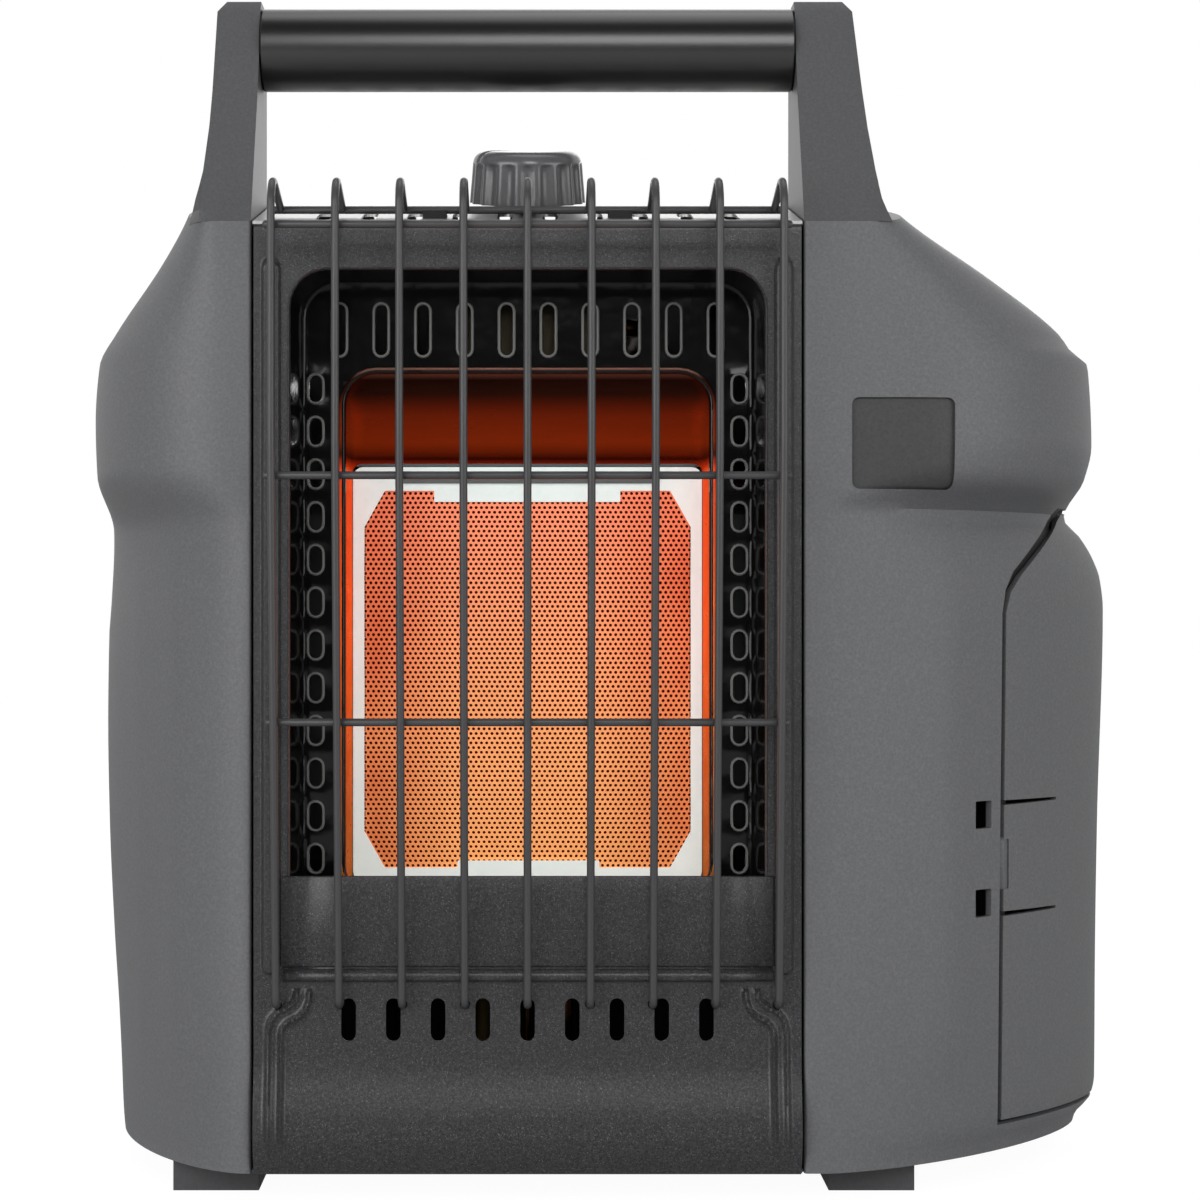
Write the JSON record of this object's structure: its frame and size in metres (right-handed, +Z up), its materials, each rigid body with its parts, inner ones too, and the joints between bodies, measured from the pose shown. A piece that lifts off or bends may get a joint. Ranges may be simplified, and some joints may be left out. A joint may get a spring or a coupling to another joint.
{
  "type": "portable propane heater",
  "caption": "Portable radiant gas heater with a wire guard over a glowing ceramic burner, plastic side shells, top handle, push-and-turn knob and a hinged fuel bay door.",
  "frame": {"origin": "middle of the bounding box in plan, on the floor under the feet", "axes": "+Z up, front with the radiant burner faces -Y, +X to the right seen from the front (the fuel bay side)"},
  "size_m": [0.3711, 0.2083, 0.404],
  "materials": {
    "shell_plastic": "fine moulded grain",
    "door_plastic": "fine moulded grain",
    "upright_plastic": "fine moulded grain",
    "grip_plastic": "satin",
    "rear_plastic": "satin",
    "powder_coat": "textured powder coat",
    "enamel": "gloss enamel",
    "reflector_steel": "heat-tinted",
    "top_steel": "satin",
    "galvanised": "dull zinc",
    "guard_wire": "satin grey",
    "hardware": "zinc plated",
    "burner_ceramic": "matte, glowing",
    "gasket_fibre": "matte fibre",
    "insulator": "glazed",
    "brass": "machined",
    "pipe": "drawn tube",
    "regulator_metal": "die cast",
    "black_plastic": "gloss",
    "knob_plastic": "gloss",
    "soft": "matte"
  },
  "bodies": {
    "heater": {"base_tray": "galvanised", "feet": "soft", "foot_screws": "hardware", "chassis_side_left": "galvanised", "chassis_side_right": "galvanised", "left_shell": "shell_plastic", "right_shell": "shell_plastic", "rear_cover": "rear_plastic", "rear_screws": "hardware", "front_panel": "powder_coat", "lip_plate": "powder_coat", "top_plate": "top_steel", "enamel_pan": "enamel", "reflector": "reflector_steel", "burner_tile": "burner_ceramic", "tile_gasket": "gasket_fibre", "tile_clip": "reflector_steel", "burner_housing": "galvanised", "burner_brackets": "galvanised", "mixing_tube": "brass", "injector_holder": "brass", "burner_tube": "pipe", "pilot_bracket": "galvanised", "pilot_burner": "brass", "thermocouple": "hardware", "spark_electrode": "insulator", "pilot_tube": "pipe", "thermocouple_lead": "pipe", "ignition_lead": "soft", "piezo_igniter": "black_plastic", "valve_spring": "hardware", "gas_valve": "brass", "valve_bracket": "galvanised", "guard_wires": "guard_wire", "guard_cross_wires": "guard_wire", "guard_clips": "top_steel", "guard_screws": "hardware", "handle_upright_left": "upright_plastic", "handle_upright_right": "upright_plastic", "grip_tube": "grip_plastic", "handle_rod": "hardware", "handle_bolts": "hardware", "regulator_body": "regulator_metal", "regulator_bonnet": "regulator_metal", "cylinder_socket": "brass", "socket_seal": "soft", "regulator_bracket": "galvanised", "supply_tube": "pipe", "cylinder_cradle": "powder_coat", "door_hinge_pins": "hardware"},
    "push_collar": {"push_collar": "galvanised", "igniter_plunger": "black_plastic"},
    "control_knob": {"control_knob": "knob_plastic", "valve_stem": "brass"},
    "fuel_door": {"fuel_door": "door_plastic"}
  },
  "joints": [
    {"name": "knob_push", "type": "slide", "parent": "heater", "child": "push_collar", "axis": [0, 0.2303, -0.9731], "range_m": [0, 0.003], "stiffness_N_per_m": 1500, "springref_m": -0.004, "deforming": ["valve_spring"]},
    {"name": "knob_turn", "type": "hinge", "parent": "push_collar", "child": "control_knob", "pos_m": [-0.03005, -0.04585, 0.33252], "axis": [0, -0.2303, 0.9731], "range_deg": [0, 210]},
    {"name": "door_swing", "type": "hinge", "parent": "heater", "child": "fuel_door", "pos_m": [0.18245, 0.06025, 0.11], "axis": [0, 0, 1], "range_deg": [0, 105]}
  ]
}
